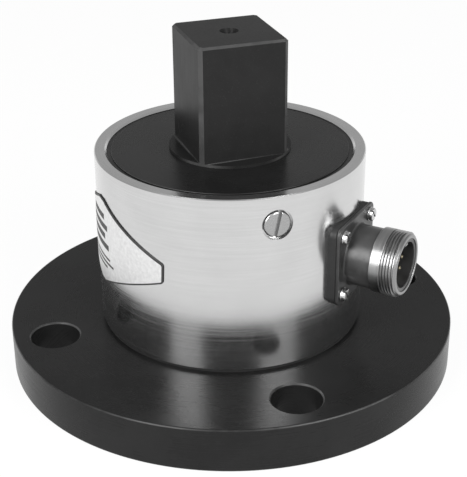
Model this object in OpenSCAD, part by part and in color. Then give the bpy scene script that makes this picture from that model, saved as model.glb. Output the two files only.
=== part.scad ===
// Flange-to-square reaction torque sensor with a threaded electrical receptacle.
// Lengths are in millimetres and angles in degrees.
// The origin is the centre of the flange's seating face. +Z runs up the torque axis towards the
// drive square, and -Y is the side that one flat of the square and a cover screw face.

/* [Mounting flange] */
// Diameter of the bolt flange
flange_d = 196; // [180:1:230]
// Thickness of the bolt flange
flange_t = 19.5; // [16:0.5:26]
// Chamfer round the flange's edges
flange_chamfer = 0.8; // [0.3:0.1:1.5]
// Distance of the bolt circle from the flange's edge
bolt_edge = 17.5; // [14.5:0.5:22]
// Diameter of each bolt hole
bolt_hole_d = 21; // [14:0.5:24]
// Chamfer round the mouths of the bolt holes
bolt_hole_chamfer = 0.6; // [0.3:0.1:1]
// Number of bolt holes
bolt_count = 4; // [3:1:8]
// Diameter of the locating recess under the flange
pilot_d = 60; // [50:1:80]
// Depth of the locating recess under the flange
pilot_depth = 5; // [3:0.5:7]
// Height of the register that centres the cover on the flange
register_h = 3; // [2:0.5:5]

/* [Torsion shaft] */
// Diameter of the shaft that twists under load
shaft_d = 46; // [38:1:52]
// Fillet at both ends of the shaft
root_r = 8; // [4:0.5:11]

/* [Collar and drive square] */
// Thickness of the collar that carries the cover
collar_t = 22; // [20:0.5:25]
// Depth of the collar's top below the cover's rim
collar_drop = 0.5; // [0.2:0.1:2]
// Height of the turned hub above the collar
hub_rise = 1.2; // [0.6:0.1:4]
// Diameter of the turned hub, which also cuts the square's corners
hub_d = 51.6; // [46:0.2:54]
// Width of the drive square across its flats
square_w = 38.1; // [32:0.1:42]
// Length of the drive square above the hub
square_len = 48.8; // [36:0.2:60]
// Chamfer along the end of each flat
flat_chamfer = 1; // [0.4:0.1:2]
// Chamfer turned on the end of the square's corners
corner_chamfer = 1; // [0.6:0.1:3]
// Largest diameter of the centre hole in the square's end
centre_d = 8; // [6:0.5:10]
// Diameter of the small bore in the centre hole
centre_bore_d = 3.2; // [2:0.1:4]
// Depth of the centre hole
centre_depth = 8; // [6:0.5:10]

/* [Cover] */
// Outer diameter of the cover
cover_d = 115; // [108:0.5:121]
// Wall of the cover
cover_wall = 5.25; // [4.75:0.25:7]
// Height of the cover's rim above the flange
cover_h = 78; // [74:1:95]
// Chamfer inside the rim
rim_chamfer = 0.8; // [0.3:0.1:1.5]
// Break on the outer edges of the cover
cover_edge = 0.4; // [0.2:0.1:0.8]
// Running clearance between the cover and what it slides over
cover_gap = 0.05; // [0.02:0.01:0.15]
// Thickness of the gasket between the flange and the cover
gasket_t = 1.2; // [0.8:0.1:2]
// Depth of the gasket's edge behind the outside of the cover
gasket_inset = 0.8; // [0.4:0.1:2]
// Width of the sealed groove round the collar
seal_w = 1.8; // [1.2:0.1:3]
// Depth of the sealed groove
seal_groove_depth = 3; // [2:0.5:5]
// Depth of the sealant below the collar's top
seal_drop = 0.7; // [0.3:0.1:1.5]

/* [Cover screws] */
// Number of screws that hold the cover to the collar
cover_screw_count = 3; // [2:1:3]
// Distance of the screws below the rim
cover_screw_drop = 12.1; // [10.5:0.1:13.5]
// Thread diameter of the cover screws
cover_screw_d = 6; // [4:0.5:7]
// Head diameter of the cover screws
cover_screw_head_d = 12; // [10:0.2:13]
// Length of the cover screws under the head
cover_screw_len = 12; // [9:0.5:16]
// Depth of the counterbores in the cover
counterbore_depth = 2.6; // [1.6:0.1:3.2]
// Gap round a screw head in its counterbore
counterbore_gap = 0.5; // [0.3:0.1:1]

/* [Receptacle] */
// Direction that the receptacle faces, turned from +X
outlet_angle = -47.5; // [-58:0.5:-30]
// Distance of the receptacle's axis below the rim
outlet_drop = 38; // [36:0.2:44]
// Width and height of the saddle under the receptacle
saddle_w = 35; // [34:0.5:42]
// Corner radius of the saddle
saddle_r = 4; // [2:0.5:6]
// Thickness of the saddle at its thinnest line
saddle_min_t = 0.6; // [0.5:0.1:4]
// Width and height of the receptacle's square flange
plate_w = 35; // [34.2:0.2:36]
// Thickness of the receptacle's square flange
plate_t = 1.5; // [1.2:0.1:3]
// Corner radius of the receptacle's square flange
plate_r = 3; // [2:0.5:4]
// Spacing of the four receptacle screws
plate_pitch = 26; // [25.6:0.2:27]
// Diameter of the receptacle's barrel
barrel_d = 25.7; // [24.8:0.1:26.4]
// Length of the barrel in front of the square flange
barrel_len = 11; // [8:0.2:14]
// Outer diameter of the threaded sleeve
thread_d = 27.5; // [27:0.1:29]
// Length of the plain band behind the thread
band_len = 4.7; // [3:0.1:7]
// Length of the thread
thread_len = 5.8; // [4.2:0.1:9]
// Length of the chamfer in front of the thread
nose_len = 1.1; // [0.6:0.1:2]
// Diameter at the front of the chamfer
nose_d = 25; // [24.4:0.1:26]
// Diameter of the mouth
mouth_d = 19.3; // [18.6:0.1:19.9]
// Length of the sleeve's lip that closes its front
lip_len = 4; // [3:0.2:5]
// Wall of the tube that passes through the cover and holds the insert
tail_wall = 1.5; // [1.3:0.1:2]
// Length of that tube behind the square flange
tail_len = 9; // [8.6:0.2:11]
// Clearance round the tube where it passes through the saddle and the cover
tail_gap = 0.5; // [0.3:0.1:1]
// Bore that holds the insert
insert_d = 20.5; // [20.2:0.1:21.2]
// Depth of the insert's face behind the mouth
insert_face_depth = 12; // [10:0.5:13.5]
// Depth of the pin tips behind the mouth
pin_tip_depth = 4.2; // [3:0.2:6]
// Diameter of the circle that the outer pins stand on
pin_circle_d = 12.6; // [11.4:0.1:13.4]
// Distance between the two inner pins
inner_pitch = 4.6; // [4:0.1:5]
// Diameter of a pin
pin_d = 1.6; // [1.2:0.1:2]

/* [Small screws and wires] */
// Thread diameter of the receptacle and board screws
small_screw_d = 3; // [2.4:0.1:3.2]
// Head diameter of the receptacle and board screws
small_head_d = 5.6; // [5:0.1:6.2]
// Head height of the receptacle and board screws
small_head_h = 1.6; // [1.2:0.1:2.8]
// Width of the slot in the receptacle and board screws
small_slot_w = 0.9; // [0.6:0.1:1.2]
// Thickness of the washers under the receptacle screws
washer_t = 0.6; // [0.4:0.1:1]
// Diameter of the wires from the receptacle
wire_d = 1.3; // [0.9:0.1:1.5]
// Diameter of the leads from the strain gauges
lead_d = 0.9; // [0.6:0.1:1.2]

/* [Nameplate] */
// Distance of the nameplate's centre below the rim
nameplate_drop = 33; // [32:0.2:38]
// Length of the nameplate along the cover
nameplate_len = 86.4; // [70:0.2:96]
// Height of the nameplate
nameplate_h = 38; // [32:0.5:44]
// Length of the nameplate's top and bottom edges
nameplate_top_len = 11; // [8:0.5:30]
// Height of the nameplate's upright ends
nameplate_end_h = 7.6; // [6:0.2:16]
// Angle that the nameplate is turned on the cover, anticlockwise as seen from outside
nameplate_turn = -4; // [-6:0.5:6]
// Corner radius of the nameplate
nameplate_r = 3; // [1.5:0.5:4.5]
// Thickness of the nameplate
nameplate_t = 0.8; // [0.5:0.1:1.2]
// Thickness of the adhesive film under it
film_t = 0.2; // [0.1:0.05:0.3]
// Margin of the film inside the plate's edge
film_inset = 0.5; // [0.2:0.1:1]

/* [Bridge circuit] */
// Width of a strain gauge round the shaft
gauge_w = 9; // [7:0.5:10]
// Height of a strain gauge
gauge_h = 11; // [8:0.5:12]
// Margin of the coating round a gauge
coating_margin = 2.5; // [1.5:0.5:3.5]
// Thickness of the coating
coating_t = 1.2; // [0.8:0.1:2]
// Thickness of the bridge board
board_t = 1.6; // [1:0.2:2.4]
// Gap between the bridge board and the cover
board_edge_gap = 3.2; // [1.5:0.1:5]
// Gap between the shaft and the bridge board
board_gap = 4; // [3:0.5:6]
// Height of the spacers under the bridge board
spacer_h = 5; // [4:0.5:7]
// Width of the spacers across their flats
spacer_w = 5.5; // [5:0.1:6]
// Distance of the board screws from the board's edge
board_screw_edge = 6; // [5:0.5:8]
// Height of the terminal block on the board
block_h = 6; // [5:0.5:8]
// Height of the trim resistors
resistor_h = 6.5; // [5:0.5:8]

/* [Hidden] */
$fn = 96;

// Facets round the cut that fits the thin saddle to the cover
fine_facets = 360;
// Overshoot of a cut past the face it opens
over = 1;
// Clearance of a part in a bore that holds it
fit_gap = 0.05;
// Clearance of a screw in a plain hole, on the diameter
screw_play = 0.2;

// Heights and radii of the sensing element and the cover
bolt_circle_d = flange_d - 2 * bolt_edge;
rim_z = flange_t + cover_h;
cover_r = cover_d / 2;
cover_bore_r = cover_r - cover_wall;
seat_r = cover_bore_r - cover_gap;
register_z = flange_t + register_h;
collar_top_z = rim_z - collar_drop;
collar_z = collar_top_z - collar_t;
hub_z = collar_top_z + hub_rise;
top_z = hub_z + square_len;
shaft_r = shaft_d / 2;
hub_r = hub_d / 2;

// Cover screws
cover_screw_z = rim_z - cover_screw_drop;
cover_screw_start = -90;
counterbore_d = cover_screw_head_d + 2 * counterbore_gap;
counterbore_floor_r = cover_r - counterbore_depth;
head_dome = 0.5;
slot_w = 1.6;
slot_depth = 1.3;
slot_lean = 12;
tap_spare = 2;
tap_depth = cover_screw_len + tap_spare;

// Receptacle, along its own axis from the front of the saddle
outlet_z = rim_z - outlet_drop;
saddle_face_r = cover_r + saddle_min_t;
barrel_x = plate_t + barrel_len;
thread_x = barrel_x + band_len;
nose_x = thread_x + thread_len;
mouth_x = nose_x + nose_len;
lip_x = mouth_x - lip_len;
mouth_r = mouth_d / 2;
spigot_wall = 1.6;
spigot_r = mouth_r + spigot_wall;
tail_d = insert_d + 2 * tail_wall;
tail_x = -tail_len;
tail_hole_d = tail_d + 2 * tail_gap;
insert_face_x = mouth_x - insert_face_depth;
insert_step_x = -1;
clip_t = 1;
clip_land = 1;
clip_x = tail_x + clip_land;
insert_back_x = clip_x + clip_t;
pin_tip_x = mouth_x - pin_tip_depth;
clip_lip = 0.4;
clip_w = 1.6;
clip_mouth = 4;
key_size = [2.4, 0.9];
key_setback = 0.6;
small_head_x = plate_t + washer_t;
small_hole_d = small_screw_d + screw_play;
small_slot_depth = small_head_h / 2;
small_slot_lean = 35;
small_screw_len = small_head_x + saddle_min_t + cover_wall;
washer_rim = 0.2;
washer_d = small_head_d + 2 * washer_rim;

// Contacts
stem_step = 0.45;
stem_d = pin_d + 2 * stem_step;
stop_step = 0.4;
stem_stop_d = stem_d + 2 * stop_step;
stem_stop_t = 0.8;
cup_r = stem_d / 2;
cup_wall = 0.5;
cup_depth = 3;
cup_floor_t = 1.4;
cup_x = insert_back_x - stem_stop_t - cup_floor_t - cup_depth;
cup_floor_x = cup_x + cup_depth;
cup_floor_r = saddle_face_r + cup_floor_x;
outer_pins = [for (a = [0 : 45 : 315]) pin_circle_d / 2 * [cos(a), sin(a)]];
inner_pins = [for (s = [-1, 1]) [s * inner_pitch / 2, 0]];
wired_pins = [for (i = [1, 2, 3, 5, 6, 7]) outer_pins[i]];

// Bridge board, below the receptacle on the flange's register
board_z = register_z + spacer_h;
board_top_z = board_z + board_t;
board_r = cover_bore_r - board_edge_gap;
board_bore_r = shaft_r + board_gap;
board_screw_r = board_r - board_screw_edge;
board_screw_angles = [-100, -40, 40, 100];
board_tap_depth = 8;
board_tap_spare = 1;
block_len = 16;
block_w = 9;
block_hole_depth = 3;
block_hole_floor_z = board_top_z + block_h - block_hole_depth;
wire_bend_r = 4;
wire_row_gap = 4;
wire_lead = 1.2;
outer_row_r = saddle_face_r + cup_x - wire_lead - wire_bend_r;
inner_row_r = outer_row_r - wire_row_gap;
block_r = (outer_row_r + inner_row_r) / 2;
resistor_size = [2.6, 7.5];
resistor_angles = [-64, 64];
resistor_radii = [34, 41];

// Strain gauges on the shaft, square to the receptacle
gauge_z = (register_z + collar_z) / 2;
gauge_angles = [outlet_angle - 90, outlet_angle + 90];
gauge_t = 0.15;
terminal_size = [1.2, 8, 3];
terminal_gap = 0.6;
terminal_z = gauge_z - gauge_h / 2 - coating_margin - terminal_gap - terminal_size[2];
lead_pitch = 2.4;
lead_bend_r = 3;
lead_land_gap = 3.5;
lead_land_r = board_bore_r + lead_land_gap;

// Nameplate, laid out flat and then wrapped round the cover
nameplate_angle = 180;
nameplate_z = rim_z - nameplate_drop;
outline_steps = 6;

// Turns its children about the torque axis and moves them out to a radius and up to a height
module around(angle, radius = 0, height = 0) {
    rotate([0, 0, angle]) translate([radius, 0, height]) children();
}

// Lays what stands on Z along X
module along_x() {
    rotate([0, 90, 0]) children();
}

// Places its children in the receptacle's own axes, with X along its axis out of the cover
module at_outlet() {
    around(outlet_angle, saddle_face_r, outlet_z) children();
}

// Centres its children on each of the four receptacle screws
module at_plate_screws() {
    for (y = [-1, 1], z = [-1, 1])
        translate([0, y * plate_pitch / 2, z * plate_pitch / 2]) children();
}

// A tube from z = 0 upwards
module tube(outer_r, inner_r, height) {
    difference() {
        cylinder(r = outer_r, h = height);
        translate([0, 0, -over]) cylinder(r = inner_r, h = height + 2 * over);
    }
}

// A square with round corners, centred on the origin
module round_square(width, radius) {
    inner = width - 2 * radius;
    square([width, inner], center = true);
    square([inner, width], center = true);
    for (x = [-1, 1], y = [-1, 1])
        translate([x * inner / 2, y * inner / 2]) circle(r = radius);
}

// Half section of a disc from the axis, with both outer corners chamfered
module disc_section(radius, z0, z1, chamfer0, chamfer1) {
    polygon([
        [0, z0], [radius - chamfer0, z0], [radius, z0 + chamfer0],
        [radius, z1 - chamfer1], [radius - chamfer1, z1], [0, z1]
    ]);
}

// Concave fillet in the corner at the origin, opening towards +X and the given side in Y
module fillet_section(radius, side) {
    scale([1, side]) difference() {
        translate([-over, -over]) square(radius + over);
        translate([radius, radius]) circle(r = radius);
    }
}

// A centre hole that opens at z = 0 and runs down
module centre_hole() {
    cone_h = (centre_d - centre_bore_d) / 2 / tan(30);
    translate([0, 0, -centre_depth]) cylinder(d = centre_bore_d, h = centre_depth + over);
    rotate_extrude() polygon([
        [0, -cone_h], [centre_bore_d / 2, -cone_h], [centre_d / 2, 0],
        [centre_d / 2, over], [0, over]
    ]);
}

// A through hole from z = 0 to a height, with a chamfer at both mouths
module chamfered_hole(diameter, height, chamfer) {
    r = diameter / 2;
    rotate_extrude() polygon([
        [0, -over], [r + chamfer, -over], [r + chamfer, 0], [r, chamfer],
        [r, height - chamfer], [r + chamfer, height], [r + chamfer, height + over],
        [0, height + over]
    ]);
}

// Half section of the whole turned blank: flange, register, shaft, collar and hub
module element_section() {
    disc_section(flange_d / 2, 0, flange_t, flange_chamfer, flange_chamfer);
    disc_section(seat_r, flange_t - over, register_z, 0, flange_chamfer);
    translate([0, flange_t]) square([shaft_r, collar_z - flange_t + over]);
    translate([shaft_r, register_z]) fillet_section(root_r, 1);
    translate([shaft_r, collar_z]) fillet_section(root_r, -1);
    difference() {
        disc_section(seat_r, collar_z, collar_top_z, flange_chamfer, 0);
        translate([cover_bore_r - seal_w, collar_top_z - seal_groove_depth])
            square([seal_w + over, seal_groove_depth + over]);
    }
    disc_section(hub_r, collar_top_z - over, top_z, 0, corner_chamfer);
}

// Cuts one flat of the drive square, on the +X side, with the chamfer along its end
module flat_cut() {
    translate([square_w / 2, -hub_d, hub_z]) cube([hub_d, 2 * hub_d, square_len + over]);
    translate([square_w / 2 - flat_chamfer, -hub_d, top_z])
        rotate([0, 45, 0]) translate([-hub_d, 0, 0]) cube([2 * hub_d, 2 * hub_d, hub_d]);
}

module sensing_element() {
    color([0.16, 0.16, 0.16]) difference() {
        rotate_extrude() element_section();
        for (k = [0 : 3]) rotate([0, 0, 90 * k]) flat_cut();
        translate([0, 0, top_z]) centre_hole();
        translate([0, 0, -over]) cylinder(d = pilot_d, h = pilot_depth + over);
        for (k = [0 : bolt_count - 1])
            around(-90 + 360 * k / bolt_count, bolt_circle_d / 2)
                chamfered_hole(bolt_hole_d, flange_t, bolt_hole_chamfer);
        for (k = [0 : cover_screw_count - 1])
            around(cover_screw_start + 360 * k / cover_screw_count,
                counterbore_floor_r - tap_depth, cover_screw_z)
                along_x() cylinder(d = cover_screw_d + 2 * fit_gap, h = tap_depth + over);
        for (a = board_screw_angles)
            around(outlet_angle + a, board_screw_r, register_z - board_tap_depth)
                cylinder(d = small_screw_d + 2 * fit_gap, h = board_tap_depth + over);
    }
}

// Half section of the cover's wall, with its rim chamfered inside and its edges broken outside
module cover_section() {
    z0 = flange_t + gasket_t;
    polygon([
        [cover_bore_r, z0], [cover_r - cover_edge, z0], [cover_r, z0 + cover_edge],
        [cover_r, rim_z - cover_edge], [cover_r - cover_edge, rim_z],
        [cover_bore_r + rim_chamfer, rim_z], [cover_bore_r, rim_z - rim_chamfer]
    ]);
}

module cover_sleeve() {
    color([0.78, 0.78, 0.77]) difference() {
        rotate_extrude() cover_section();
        for (k = [0 : cover_screw_count - 1])
            around(cover_screw_start + 360 * k / cover_screw_count, 0, cover_screw_z) {
                translate([counterbore_floor_r, 0, 0])
                    along_x() cylinder(d = counterbore_d, h = counterbore_depth + over);
                translate([hub_r, 0, 0])
                    along_x() cylinder(d = cover_screw_d + screw_play, h = cover_r);
            }
        at_outlet() {
            translate([-cover_r + hub_r, 0, 0]) along_x() cylinder(d = tail_hole_d, h = cover_r);
            at_plate_screws() translate([-cover_r + hub_r, 0, 0])
                along_x() cylinder(d = small_screw_d + 2 * fit_gap, h = cover_r);
        }
    }
}

// A screw along X with a slotted head: the head stands on x = 0 and the shank runs to -X
module slotted_screw(shank_d, length, head_d, head_h, dome, slot, depth) {
    difference() {
        union() {
            translate([-length, 0, 0]) along_x() cylinder(d = shank_d, h = length);
            along_x() rotate_extrude() polygon([
                [0, 0], [head_d / 2, 0], [head_d / 2, head_h - dome],
                [head_d / 2 - dome, head_h], [0, head_h]
            ]);
        }
        translate([head_h - depth, -slot / 2, -head_d]) cube([depth + over, slot, 2 * head_d]);
    }
}

module cover_screws() {
    color([0.75, 0.75, 0.74]) for (k = [0 : cover_screw_count - 1])
        around(cover_screw_start + 360 * k / cover_screw_count, counterbore_floor_r, cover_screw_z)
            rotate([-slot_lean, 0, 0]) slotted_screw(cover_screw_d, cover_screw_len,
                cover_screw_head_d, counterbore_depth, head_dome, slot_w, slot_depth);
}

module top_seal() {
    seal_h = seal_groove_depth - seal_drop;
    color([0.07, 0.07, 0.07]) translate([0, 0, collar_top_z - seal_groove_depth])
        tube(cover_bore_r, cover_bore_r - seal_w, seal_h);
}

module base_gasket() {
    color([0.08, 0.08, 0.08]) translate([0, 0, flange_t])
        tube(cover_r - gasket_inset, cover_bore_r, gasket_t);
}

module saddle() {
    color([0.12, 0.12, 0.12]) difference() {
        at_outlet() translate([-cover_r, 0, 0]) along_x()
            linear_extrude(height = cover_r) round_square(saddle_w, saddle_r);
        cylinder(r = cover_r, h = rim_z, $fn = fine_facets);
        at_outlet() {
            translate([-cover_r - over, 0, 0]) along_x() cylinder(d = tail_hole_d, h = 2 * cover_r);
            at_plate_screws() translate([-cover_r - over, 0, 0])
                along_x() cylinder(d = small_hole_d, h = 2 * cover_r);
        }
    }
}

// Half section of the receptacle body's barrel and tail, drawn as radius against X
module body_section() {
    spigot_x = lip_x - fit_gap;
    polygon([
        [mouth_r, spigot_x], [spigot_r, spigot_x], [spigot_r, barrel_x],
        [barrel_d / 2, barrel_x], [barrel_d / 2, 0], [tail_d / 2, 0], [tail_d / 2, tail_x],
        [insert_d / 2, tail_x], [insert_d / 2, insert_step_x], [mouth_r, insert_step_x]
    ]);
}

module receptacle_body() {
    color([0.14, 0.14, 0.14]) at_outlet() {
        difference() {
            union() {
                along_x() rotate_extrude() body_section();
                along_x() linear_extrude(height = plate_t) difference() {
                    round_square(plate_w, plate_r);
                    circle(r = spigot_r);
                }
            }
            at_plate_screws() translate([-over, 0, 0])
                along_x() cylinder(d = small_hole_d, h = plate_t + 2 * over);
            translate([clip_x, 0, 0])
                along_x() cylinder(r = insert_d / 2 + clip_lip, h = clip_t);
        }
    }
}

// Half section of the threaded sleeve, drawn as radius against X
module thread_section() {
    polygon([
        [spigot_r + fit_gap, barrel_x], [thread_d / 2, barrel_x], [thread_d / 2, nose_x],
        [nose_d / 2, mouth_x], [mouth_r, mouth_x], [mouth_r, lip_x],
        [spigot_r + fit_gap, lip_x]
    ]);
}

// The key on top of the mouth turns the plug the right way round
module receptacle_thread() {
    color([0.8, 0.8, 0.8]) at_outlet() {
        along_x() rotate_extrude() thread_section();
        translate([lip_x, -key_size[0] / 2, mouth_r - key_size[1]])
            cube([lip_len - key_setback, key_size[0], key_size[1] + spigot_wall / 2]);
    }
}

// Centres its children on every contact of the insert
module at_contacts() {
    for (p = concat(outer_pins, inner_pins)) translate([0, p[0], p[1]]) children();
}

module receptacle_insert() {
    front_r = mouth_r - fit_gap;
    back_r = insert_d / 2 - fit_gap;
    color([0.1, 0.1, 0.1]) at_outlet() difference() {
        along_x() rotate_extrude() polygon([
            [0, insert_back_x], [back_r, insert_back_x], [back_r, insert_step_x],
            [front_r, insert_step_x], [front_r, insert_face_x], [0, insert_face_x]
        ]);
        at_contacts() translate([insert_back_x - over, 0, 0]) along_x()
            cylinder(d = stem_d + 2 * fit_gap, h = insert_face_x - insert_back_x + 2 * over);
    }
}

// Half section of one contact: round-nosed pin, stem, stop and solder cup
module contact_section() {
    nose = pin_d / 4;
    polygon([
        [0, cup_floor_x], [cup_r - cup_wall, cup_floor_x], [cup_r - cup_wall, cup_x],
        [cup_r, cup_x], [cup_r, insert_back_x - stem_stop_t],
        [stem_stop_d / 2, insert_back_x - stem_stop_t], [stem_stop_d / 2, insert_back_x],
        [stem_d / 2, insert_back_x], [stem_d / 2, insert_face_x], [pin_d / 2, insert_face_x],
        [pin_d / 2, pin_tip_x - nose], [pin_d / 2 - nose, pin_tip_x], [0, pin_tip_x]
    ]);
}

module contact_pins() {
    color([0.85, 0.7, 0.35]) at_outlet() at_contacts()
        along_x() rotate_extrude() contact_section();
}

module insert_clip() {
    color([0.5, 0.5, 0.5]) at_outlet() translate([clip_x, 0, 0]) along_x() difference() {
        tube(insert_d / 2 + clip_lip, insert_d / 2 + clip_lip - clip_w, clip_t);
        translate([0, -clip_mouth / 2, -over]) cube([insert_d, clip_mouth, clip_t + 2 * over]);
    }
}

// One of the small pan-head screws, laid along X
module small_screw(length) {
    slotted_screw(small_screw_d, length, small_head_d, small_head_h, head_dome,
        small_slot_w, small_slot_depth);
}

module receptacle_screws() {
    color([0.82, 0.82, 0.82]) at_outlet() at_plate_screws() translate([small_head_x, 0, 0])
        rotate([small_slot_lean, 0, 0]) small_screw(small_screw_len);
}

module screw_washers() {
    color([0.8, 0.8, 0.8]) at_outlet() at_plate_screws() translate([plate_t, 0, 0])
        along_x() tube(washer_d / 2, small_hole_d / 2, washer_t);
}

// Outline of the nameplate laid flat, as its corners from the top right and on round
function plate_corners(inset) = let (
    half_len = nameplate_len / 2 - inset,
    half_h = nameplate_h / 2 - inset,
    slope = atan2((nameplate_h - nameplate_end_h) / 2, (nameplate_len - nameplate_top_len) / 2),
    half_top = nameplate_top_len / 2 - inset * tan(slope / 2),
    half_end = nameplate_end_h / 2 - inset * tan((90 - slope) / 2)
) [
    [half_top, half_h], [half_len, half_end], [half_len, -half_end], [half_top, -half_h],
    [-half_top, -half_h], [-half_len, -half_end], [-half_len, half_end], [-half_top, half_h]
];

// Points of a closed outline with its corners rounded and its straight edges divided
function rounded_outline(corners, radius) = [
    for (i = [0 : len(corners) - 1])
        let (
            p = corners[i],
            before = corners[(i + len(corners) - 1) % len(corners)],
            after = corners[(i + 1) % len(corners)],
            u = (before - p) / norm(before - p),
            v = (after - p) / norm(after - p),
            half = acos(u * v) / 2,
            centre = p + (u + v) / norm(u + v) * radius / sin(half),
            start = p + u * radius / tan(half),
            stop = p + v * radius / tan(half),
            a0 = atan2(start[1] - centre[1], start[0] - centre[0]),
            a1 = atan2(stop[1] - centre[1], stop[0] - centre[0]),
            turn = (a1 - a0 + 540) % 360 - 180,
            to_next = after - v * radius / tan(half) - stop
        )
        each concat(
            [for (k = [0 : outline_steps])
                centre + radius * [cos(a0 + turn * k / outline_steps), sin(a0 + turn * k / outline_steps)]],
            [for (k = [1 : outline_steps - 1]) stop + to_next * k / outline_steps]
        )
];

// Points turned about the origin
function turned(points, angle) = [
    for (p = points) [p[0] * cos(angle) - p[1] * sin(angle), p[0] * sin(angle) + p[1] * cos(angle)]
];

// A plate that is wrapped round the cover, between two radii
module wrapped_plate(inner_r, outer_r, inset) {
    flat = turned(rounded_outline(plate_corners(inset), nameplate_r - inset), nameplate_turn);
    wrapped = [for (p = flat) [cover_r * sin(p[0] / cover_r * 180 / PI), p[1]]];
    around(nameplate_angle, 0, nameplate_z) intersection() {
        translate([0, 0, -nameplate_h]) tube(outer_r, inner_r, 2 * nameplate_h);
        rotate([90, 0, 90]) linear_extrude(height = cover_d) polygon(wrapped);
    }
}

module nameplate() {
    color([0.85, 0.85, 0.85]) wrapped_plate(cover_r + film_t, cover_r + film_t + nameplate_t, 0);
}

module nameplate_film() {
    color([0.2, 0.2, 0.2]) wrapped_plate(cover_r, cover_r + film_t, film_inset);
}

// A patch on the +X side of the shaft, between two thicknesses
module shaft_patch(width, height, t0, t1) {
    intersection() {
        translate([0, 0, -height / 2]) tube(shaft_r + t1, shaft_r + t0, height);
        translate([0, -width / 2, -height]) cube([shaft_d, width, 2 * height]);
    }
}

module strain_gauges() {
    color([0.75, 0.55, 0.3]) for (a = gauge_angles)
        around(a, 0, gauge_z) shaft_patch(gauge_w, gauge_h, 0, gauge_t);
}

module gauge_coating() {
    color([0.75, 0.75, 0.8]) for (a = gauge_angles) around(a, 0, gauge_z) difference() {
        shaft_patch(gauge_w + 2 * coating_margin, gauge_h + 2 * coating_margin, 0, coating_t);
        shaft_patch(gauge_w, gauge_h, -over, gauge_t);
    }
}

module solder_terminals() {
    color([0.8, 0.65, 0.35]) for (a = gauge_angles) around(a, 0, terminal_z) difference() {
        translate([0, -terminal_size[1] / 2, 0])
            cube([shaft_r + terminal_size[0], terminal_size[1], terminal_size[2]]);
        translate([0, 0, -over]) cylinder(r = shaft_r, h = terminal_size[2] + 2 * over);
    }
}

// A wire that runs along -X from the origin, bends and drops
module bent_wire(diameter, run, drop, bend_r) {
    straight_x = run - bend_r;
    straight_z = drop - bend_r;
    translate([-straight_x, 0, 0]) {
        along_x() cylinder(d = diameter, h = straight_x);
        rotate([90, 0, 0]) translate([0, -bend_r, 0]) rotate([0, 0, 90])
            rotate_extrude(angle = 90) translate([bend_r, 0]) circle(d = diameter);
        translate([-bend_r, 0, -bend_r - straight_z]) cylinder(d = diameter, h = straight_z);
    }
}

module gauge_leads() {
    start_r = shaft_r + terminal_size[0];
    start_z = terminal_z + terminal_size[2] / 2;
    color([0.8, 0.25, 0.2]) for (a = gauge_angles, k = [-1 : 1])
        around(a, start_r, start_z) translate([0, k * lead_pitch, 0]) rotate([0, 0, 180])
            bent_wire(lead_d, lead_land_r - start_r, start_z - board_top_z, lead_bend_r);
}

// The board is a horseshoe, open away from the receptacle so that it slides round the shaft
module bridge_board() {
    color([0.1, 0.35, 0.2]) around(outlet_angle, 0, board_z) linear_extrude(height = board_t)
        difference() {
            circle(r = board_r);
            circle(r = board_bore_r);
            translate([-cover_d, -board_bore_r]) square([cover_d, 2 * board_bore_r]);
            for (a = board_screw_angles)
                rotate([0, 0, a]) translate([board_screw_r, 0]) circle(d = small_hole_d);
        }
}

module board_spacers() {
    color([0.8, 0.7, 0.4]) for (a = board_screw_angles)
        around(outlet_angle + a, board_screw_r, register_z) difference() {
            cylinder(d = spacer_w / cos(30), h = spacer_h, $fn = 6);
            translate([0, 0, -over]) cylinder(d = small_hole_d, h = spacer_h + 2 * over);
        }
}

module board_screws() {
    screw_len = board_t + spacer_h + board_tap_depth - board_tap_spare;
    color([0.8, 0.8, 0.8]) for (a = board_screw_angles)
        around(outlet_angle + a, board_screw_r, board_top_z)
            rotate([0, -90, 0]) small_screw(screw_len);
}

module trim_resistors() {
    color([0.25, 0.35, 0.6]) for (a = resistor_angles, r = resistor_radii)
        around(outlet_angle + a, r, board_top_z)
            translate([-resistor_size[0] / 2, -resistor_size[1] / 2, 0])
                cube([resistor_size[0], resistor_size[1], resistor_h]);
}

// Radius at which a wire drops to the board: those from upper pins drop nearer to the shaft
function row_r(pin) = pin[1] > 0 ? inner_row_r : outer_row_r;

module terminal_block() {
    color([0.2, 0.5, 0.3]) around(outlet_angle) difference() {
        translate([block_r - block_w / 2, -block_len / 2, board_top_z])
            cube([block_w, block_len, block_h]);
        for (p = wired_pins) translate([row_r(p), p[0], block_hole_floor_z])
            cylinder(d = wire_d + 2 * fit_gap, h = block_hole_depth + over);
    }
}

module receptacle_wires() {
    color([0.3, 0.3, 0.7]) for (p = wired_pins)
        around(outlet_angle) translate([cup_floor_r, p[0], outlet_z + p[1]])
            bent_wire(wire_d, cup_floor_r - row_r(p), outlet_z + p[1] - block_hole_floor_z,
                wire_bend_r);
}

sensing_element();
cover_sleeve();
cover_screws();
top_seal();
base_gasket();
saddle();
receptacle_body();
receptacle_thread();
receptacle_insert();
contact_pins();
insert_clip();
receptacle_screws();
screw_washers();
nameplate();
nameplate_film();
strain_gauges();
gauge_coating();
solder_terminals();
gauge_leads();
bridge_board();
board_spacers();
board_screws();
trim_resistors();
terminal_block();
receptacle_wires();
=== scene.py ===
"""Dressed model of a flange-to-square torque sensor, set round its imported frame.

Lengths are metres, the origin is the centre of the flange's seating face and +Z runs up the
torque axis towards the drive square.
"""

import logging
import math
from collections.abc import Iterable, Sequence
from dataclasses import dataclass
from enum import Enum
from functools import reduce
from itertools import product
from typing import Any

import bmesh
import bpy
from mathutils import Matrix, Vector


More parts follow.
